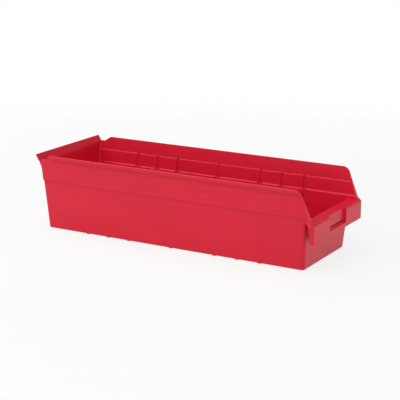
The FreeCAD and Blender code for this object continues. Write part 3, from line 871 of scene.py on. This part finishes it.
grip = bmesh.new()
foot = [grip.verts.new((across, GRIP_FACE, GRIP_FOOT)) for across in COLUMNS]
row = [grip.edges.new(pair) for pair in zip(foot, foot[1:])]
level = GRIP_FOOT
for height in SKIRT_LEVELS:
    row = extend(grip, row, (0, 0, height - level))
    level = height
flange_row = [edge for edge in row if abs(middle_of(edge).x) < FLANGE_HALF_WIDTH]
ear_row = [edge for edge in row if edge not in flange_row]
print("grip skirt rows:", len(SKIRT_LEVELS), "ear edges:", len(ear_row))

# %% Grip bend and flange
bend = bmesh.ops.spin(grip, geom=flange_row, cent=(0, GRIP_FACE + BEND_RADIUS, BEND_START), axis=(1, 0, 0),
                      dvec=(0, 0, 0), angle=math.radians(-90), steps=BEND_STEPS,
                      use_duplicate=False)["geom_last"]
bend_row = [item for item in bend if isinstance(item, bmesh.types.BMEdge)]
print("bend ends at", [round(value, 2) for value in middle_of(bend_row[0])])
extend(grip, bend_row, (0, FLANGE_REAR - GRIP_FACE - BEND_RADIUS, 0))

# %% [markdown]
# The label pocket is a panel that is set back in the grip, with a slit and a sloped shelf below it. It
# could be a separate tray behind a hole, but on the real grip it is part of the same sheet, so it is cut
# into the sheet. The faces in front of it go, the cut's side edges are drawn back to make the side walls,
# and the panel is bridged between them. The slit is left open, and the shelf runs from there to the front.

# %% Label pocket
MERGE_DISTANCE = 0.05


def in_pocket(face):
    middle = face.calc_center_median()
    return abs(middle.x) < LABEL_HALF_WIDTH and middle.z > SHELF_FRONT and middle.y < LABEL_FACE


bmesh.ops.delete(grip, geom=[face for face in grip.faces if in_pocket(face)], context="FACES")
pocket_sides = [edge for edge in grip.edges if edge.is_boundary
                and all(abs(abs(end.co.x) - LABEL_HALF_WIDTH) < TOLERANCE for end in edge.verts)]
pocket_sides = [edge for edge in pocket_sides if abs(edge.verts[0].co.x - edge.verts[1].co.x) < TOLERANCE]
drawn = bmesh.ops.extrude_edge_only(grip, edges=pocket_sides)["geom"]
for point in new_points(drawn):
    point.co.y = LABEL_FACE
    point.co.z = max(point.co.z, SHELF_BACK)
panel_sides = [edge for edge in chain_between(drawn) if middle_of(edge).z > SLIT_TOP]
bmesh.ops.bridge_loops(grip, edges=panel_sides)
shelf_front = [edge for edge in grip.edges if edge.is_boundary and abs(middle_of(edge).x) < TOLERANCE
               and abs(middle_of(edge).z - SHELF_FRONT) < TOLERANCE]
shelf_back = extend(grip, shelf_front, (0, LABEL_FACE - GRIP_FACE, SHELF_BACK - SHELF_FRONT))
extend(grip, shelf_back, (0, GRIP_WALL, 0))
bmesh.ops.remove_doubles(grip, verts=grip.verts, dist=MERGE_DISTANCE)
print("pocket side edges:", len(pocket_sides), "panel edges:", len(panel_sides))

# %% [markdown]
# The ears carry on upwards as the flanges of the hopper edges. Each flange covers the end of its side
# wall and stands out nearly to the grip's full width, so it is wide at the grip and runs out at the rim.
# It could be a strip of its own, but then a seam would show at the grip, where the real one has none.
# The outer edge of the ear is then drawn backwards into an end cheek.

# %% Hopper flanges
FLANGE_PROUD = 0.3
FLANGE_END = 139
FLANGE_LEVELS = ((97, WEB_IN), (100.3, WEB_IN), (101.1, BAND_INSIDE), (112, BAND_INSIDE),
                 (UPPER_LEDGE - 0.5, BAND_INSIDE), (UPPER_LEDGE + 0.5, RIM_INSIDE), (138, RIM_INSIDE))
HOPPER_HALF_WIDTH = 104.6
INNER_OVERLAP = 0.08
NOSE_PLACE = -298.6
NOSE_HEIGHT = 90.2


def draw_ear(row, along, height, inside, outside=HOPPER_HALF_WIDTH):
    """Carry the ear's edge up to one height, from the wall's inner face to the outside width."""
    grown = bmesh.ops.extrude_edge_only(grip, edges=row)["geom"]
    for point in new_points(grown):
        inner = abs(point.co.x) < HOPPER_HALF_WIDTH - TOLERANCE
        reach = half_width(height) + inside - INNER_OVERLAP if inner else outside
        point.co = Vector((side_of(point.co.x) * reach, along, height))
    return chain_between(grown)


ear_row = draw_ear(ear_row, NOSE_PLACE, NOSE_HEIGHT, WEB_IN, GRIP_HALF_WIDTH)
for height, inside in FLANGE_LEVELS:
    sink = 2 * FLANGE_PROUD * smooth_share(height, UPPER_LEDGE, FLANGE_END)
    ear_row = draw_ear(ear_row, hopper_line(height) - FLANGE_PROUD + sink, height, inside)
print("hopper flanges end at", round(ear_row[0].verts[0].co.z, 1))

# %% End cheeks of the grip
EAR_TOP = 112
EAR_REAR = ((GRIP_FOOT, -292.9), (68, -292.9), (77.5, -292.1), (84.9, -290.6), (91.9, -287.7),
            (98.1, -284.6), (EAR_TOP, hopper_line(EAR_TOP) + 0.5))
GRIP_CORNER = 4
GRIP_CORNER_STEPS = 4


def ear_rear(height):
    """Rear edge of an end cheek, straight between its few corners."""
    for (low, start), (high, end) in zip(EAR_REAR, EAR_REAR[1:]):
        if height <= high + TOLERANCE:
            return start + (end - start) * (height - low) / (high - low)
    return EAR_REAR[-1][1]


ear_sides = [edge for edge in grip.edges if edge.is_boundary
             and all(abs(end.co.x) > HOPPER_HALF_WIDTH - TOLERANCE and end.co.z < EAR_TOP + TOLERANCE
                     for end in edge.verts)]
drawn = bmesh.ops.extrude_edge_only(grip, edges=ear_sides)["geom"]
for point in new_points(drawn):
    point.co.y = ear_rear(point.co.z)
bmesh.ops.recalc_face_normals(grip, faces=grip.faces)
corner_edges = [edge for edge in grip.edges
                if all(abs(end.co.x) > GRIP_HALF_WIDTH - TOLERANCE and end.co.y < GRIP_FACE + TOLERANCE
                       for end in edge.verts)]
bmesh.ops.bevel(grip, geom=corner_edges, offset=GRIP_CORNER, offset_type="OFFSET",
                segments=GRIP_CORNER_STEPS, profile=0.5, affect="EDGES", material=-1)
print("grip edges rounded:", len(corner_edges), "end cheek edges:", len(ear_sides))

# %% [markdown]
# So far the grip is a sheet with no thickness. A second sheet could be modelled behind it, but Solidify
# gives an even wall round every bend, inwards from the outer face. A bevel then softens its edges.

# %% Thickness of the grip
GRIP_BEVEL_ANGLE = 35

skirt_face = min(grip.faces, key=lambda face: face.calc_center_median().y)
if skirt_face.normal.y > 0:
    bmesh.ops.reverse_faces(grip, faces=grip.faces)
grip_piece = make_piece(grip, "pull_grip", (
    "grip_skirt", "grip_flange", "label_panel", "label_shelf", "left_grip_end", "right_grip_end",
    "left_hopper_flange", "right_hopper_flange"))
thickness = grip_piece.modifiers.new("wall_thickness", "SOLIDIFY")
thickness.thickness = GRIP_WALL * MM
thickness.offset = -1
thickness.use_even_offset = True
thickness.use_quality_normals = True
add_bevel(grip_piece, SOFT_EDGE, GRIP_BEVEL_ANGLE)
add_even_shading(grip_piece)

# %% [markdown]
# ## Floor and light
# The photograph has a pure white ground and soft light from all round. Strong lamps could make the floor
# white, but they would bleach the red as well. So the floor shows as white to the camera and in
# reflections, whatever light falls on it. Close to the bin it keeps a part of its own shading, so that a
# soft shadow is left.

# %% Floor
FLOOR_SIZE = 12
FLOOR_GAP = 0.2 * MM
floor_mesh = bmesh.new()
bmesh.ops.create_grid(floor_mesh, x_segments=1, y_segments=1, size=FLOOR_SIZE / 2)
bmesh.ops.translate(floor_mesh, vec=(0, 0, -FLOOR_GAP), verts=floor_mesh.verts)
floor_data = bpy.data.meshes.new("studio_floor")
floor_mesh.to_mesh(floor_data)
floor_mesh.free()
floor = bpy.data.objects.new("studio_floor", floor_data)
scene.collection.objects.link(floor)
print("floor is", FLOOR_SIZE, "m wide")

# %% White floor
FLOOR_GREY = (0.86, 0.86, 0.86, 1)
FLOOR_ROUGHNESS = 0.7
SHOWN_WHITE = 0.82
SHADOW_REACH = 0.45
PURE_WHITE_FROM = 1.6


def seen_rays(tree):
    """1 for the rays that show the background: straight from the camera, mirrored or through glass."""
    paths = tree.nodes.new("ShaderNodeLightPath").outputs
    mirrored = join(tree, "MAXIMUM", paths["Is Glossy Ray"], paths["Is Transmission Ray"])
    return join(tree, "MAXIMUM", paths["Is Camera Ray"], mirrored)


white_floor = bpy.data.materials.new("white_floor")
white_floor.use_nodes = True
tree = white_floor.node_tree
floor_shader = tree.nodes["Principled BSDF"]
floor_shader.inputs["Base Color"].default_value = FLOOR_GREY
floor_shader.inputs["Roughness"].default_value = FLOOR_ROUGHNESS
glow = tree.nodes.new("ShaderNodeEmission")
glow.inputs["Strength"].default_value = 1
distance = tree.nodes.new("ShaderNodeVectorMath")
distance.operation = "LENGTH"
tree.links.new(tree.nodes.new("ShaderNodeTexCoord").outputs["Object"], distance.inputs[0])
whiteness = remap(tree, distance.outputs["Value"], SHADOW_REACH, PURE_WHITE_FROM, SHOWN_WHITE, 1)
whiten = tree.nodes.new("ShaderNodeMixShader")
tree.links.new(join(tree, "MULTIPLY", seen_rays(tree), whiteness), whiten.inputs["Fac"])
tree.links.new(floor_shader.outputs["BSDF"], whiten.inputs[1])
tree.links.new(glow.outputs["Emission"], whiten.inputs[2])
tree.links.new(whiten.outputs["Shader"], tree.nodes["Material Output"].inputs["Surface"])
floor_data.materials.append(white_floor)
print("material:", white_floor.name)

# %% [markdown]
# The world stands for the walls and the ceiling of a studio. A plain white one would light the bin from
# all sides and leave it flat. So it lights the bin dimly, and only near the horizon does it show as white
# to the camera and in reflections. Higher up it looks dim to them as well, as a ceiling would.

# %% World
WORLD_STRENGTH = 0.3
BACKDROP_TOP = 0.17
CEILING_FROM = 0.28

world = bpy.data.worlds.new("studio")
scene.world = world
world.use_nodes = True
tree = world.node_tree
direction = tree.nodes.new("ShaderNodeSeparateXYZ")
tree.links.new(tree.nodes.new("ShaderNodeTexCoord").outputs["Generated"], direction.inputs["Vector"])
horizon = remap(tree, direction.outputs["Z"], BACKDROP_TOP, CEILING_FROM, 1, 0)
shown = join(tree, "MULTIPLY", seen_rays(tree), horizon)
ambient = tree.nodes["Background"]
ambient.inputs["Color"].default_value = (1, 1, 1, 1)
tree.links.new(remap(tree, shown, 0, 1, WORLD_STRENGTH, 1), ambient.inputs["Strength"])
print("world light:", WORLD_STRENGTH)

# %% [markdown]
# Three lamps model the shape: one above, one on the left and one in front. Small lamps or a sun would be
# simpler, but they cast hard shadows, which the photograph doesn't have. Large area lamps act as the
# softboxes of a studio do.

# %% Lamps
BIN_MIDDLE = Vector((0, 0, 0.08))


def add_lamp(name, place, size, power):
    data = bpy.data.lights.new(name, "AREA")
    data.shape = "RECTANGLE"
    data.size, data.size_y = size
    data.energy = power
    lamp = bpy.data.objects.new(name, data)
    lamp.location = place
    lamp.rotation_euler = (Vector(place) - BIN_MIDDLE).to_track_quat("Z", "Y").to_euler()
    scene.collection.objects.link(lamp)


add_lamp("top_softbox", (-0.4, 0.8, 1.9), size=(2.6, 2.6), power=39)
add_lamp("left_softbox", (-2.4, -0.2, 0.8), size=(2.8, 1.5), power=16)
add_lamp("front_softbox", (-0.2, -2.4, 0.8), size=(2.8, 1.4), power=14)

# %% [markdown]
# ## The size
# The pieces have to keep the size of the solids that they stand in for.

# %% Finish
bpy.context.view_layer.update()
